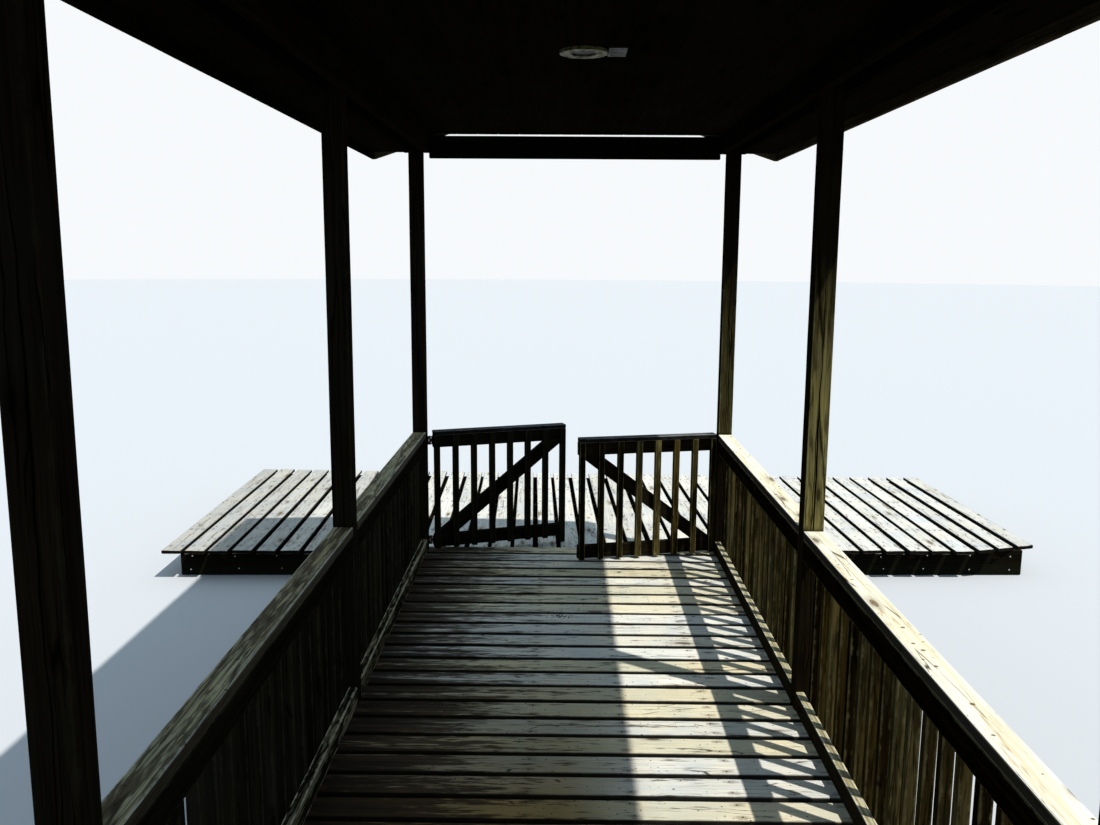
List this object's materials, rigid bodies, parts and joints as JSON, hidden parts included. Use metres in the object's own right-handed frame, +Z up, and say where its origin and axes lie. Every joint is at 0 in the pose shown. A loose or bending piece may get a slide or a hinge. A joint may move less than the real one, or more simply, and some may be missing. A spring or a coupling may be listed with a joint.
{
  "type": "covered pier with swing gates and platform",
  "caption": "Open-sided roofed timber pier with railings, a pair of swing gates at its lake end and a low boarded platform beyond them.",
  "frame": {"origin": "middle of the overall footprint, at the water line that the posts' feet and the platform frame stand on", "axes": "+Y runs out over the lake along the pier, +X to the right of someone walking out, +Z up"},
  "size_m": [6.2562, 9.9902, 3.4663],
  "materials": {
    "pale_timber": "rough weathered, sun-bleached",
    "post_timber": "rough weathered, checked",
    "dark_timber": "rough weathered, dark",
    "galvanised": "dull zinc with rust",
    "shingle": "coarse mineral grains",
    "light_trim": "dull paint",
    "lens": "dark, dull"
  },
  "bodies": {
    "root": {"left_posts": "dark_timber", "right_posts": "post_timber", "side_rims": "dark_timber", "pier_joists": "dark_timber", "cross_members": "dark_timber", "deck_boards": "pale_timber", "left_railings": "dark_timber", "right_railings": "post_timber", "left_rail_caps": "post_timber", "right_rail_caps": "pale_timber", "post_hinges": "galvanised", "platform_frame": "dark_timber", "platform_joists": "dark_timber", "platform_boards": "pale_timber", "side_beams": "dark_timber", "end_headers": "dark_timber", "ceiling": "dark_timber", "roof_trusses": "post_timber", "left_sheathing": "post_timber", "right_sheathing": "post_timber", "left_shingles": "shingle", "right_shingles": "shingle", "ridge_cap": "shingle", "left_fascia": "dark_timber", "right_fascia": "post_timber", "soffit_boards": "dark_timber", "lake_gable": "post_timber", "shore_gable": "post_timber", "lake_rakes": "post_timber", "shore_rakes": "post_timber", "light_ring": "light_trim", "light_lens": "lens", "light_cover": "light_trim"},
    "left_gate": {"left_gate_rails": "dark_timber", "left_gate_uprights": "dark_timber", "left_gate_brace": "dark_timber", "left_gate_cap": "post_timber", "left_gate_straps": "galvanised"},
    "right_gate": {"right_gate_rails": "dark_timber", "right_gate_uprights": "post_timber", "right_gate_brace": "dark_timber", "right_gate_cap": "post_timber", "right_gate_straps": "galvanised"}
  },
  "joints": [
    {"name": "left_gate_hinge", "type": "hinge", "parent": "root", "child": "left_gate", "pos_m": [-1.17295, 2.35386, 0.6], "axis": [0, 0, 1], "range_deg": [-13, 79]},
    {"name": "right_gate_hinge", "type": "hinge", "parent": "root", "child": "right_gate", "pos_m": [0.75705, 2.35386, 0.6], "axis": [0, 0, -1], "range_deg": [0, 113]}
  ]
}
